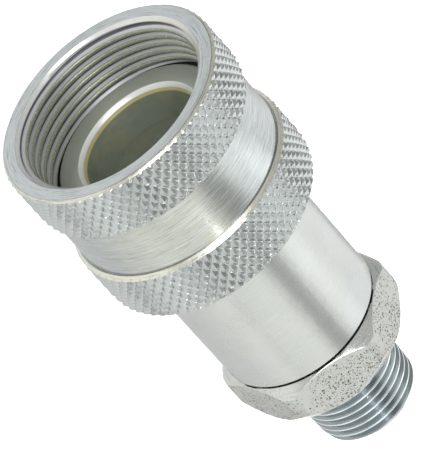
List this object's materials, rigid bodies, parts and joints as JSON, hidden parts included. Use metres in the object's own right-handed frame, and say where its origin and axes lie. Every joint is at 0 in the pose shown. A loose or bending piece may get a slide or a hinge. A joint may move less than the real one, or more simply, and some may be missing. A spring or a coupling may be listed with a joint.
{
  "type": "quick disconnect coupler",
  "caption": "Screw-to-connect hydraulic quick coupler, socket half: a knurled threaded collar on a valve body with a hex adapter and a tapered pipe thread.",
  "frame": {"origin": "centre of the small end face of the tapered pipe thread", "axes": "+X along the flow axis, out of the mouth; +Z square to a pair of wrench flats"},
  "size_m": [0.0726, 0.036, 0.036],
  "materials": {
    "collar_steel": "bright zinc plated, knurled and turned",
    "body_steel": "zinc plated, satin",
    "adapter_steel": "zinc plated, dull, with dark specks",
    "valve_steel": "turned steel, clear zinc",
    "spring_steel": "oiled spring steel",
    "nitrile": "moulded, black",
    "ptfe": "machined, white",
    "urethane": "moulded, amber brown"
  },
  "bodies": {
    "valve_body": {"socket_body": "body_steel", "socket_o_ring": "nitrile", "socket_backup_ring": "ptfe", "hex_adapter": "adapter_steel", "adapter_o_ring": "nitrile", "adapter_backup_ring": "ptfe", "poppet_guide": "valve_steel", "guide_snap_ring": "spring_steel", "poppet_spring": "spring_steel"},
    "drag_ring": {"collar_drag_ring": "spring_steel"},
    "collar": {"coupling_collar": "collar_steel"},
    "poppet": {"valve_poppet": "valve_steel", "poppet_seal": "urethane", "poppet_nose": "valve_steel"}
  },
  "joints": [
    {"name": "collar_slide", "type": "slide", "parent": "valve_body", "child": "drag_ring", "axis": [-1, 0, 0], "range_m": [0, 0.024]},
    {"name": "collar_spin", "type": "hinge", "parent": "drag_ring", "child": "collar", "pos_m": [0.05, 0, 0], "axis": [1, 0, 0], "continuous": true},
    {"name": "poppet_slide", "type": "slide", "parent": "valve_body", "child": "poppet", "axis": [-1, 0, 0], "range_m": [0, 0.0045], "stiffness_N_per_m": 2000, "springref_m": -0.006, "deforming": ["poppet_spring"]}
  ]
}
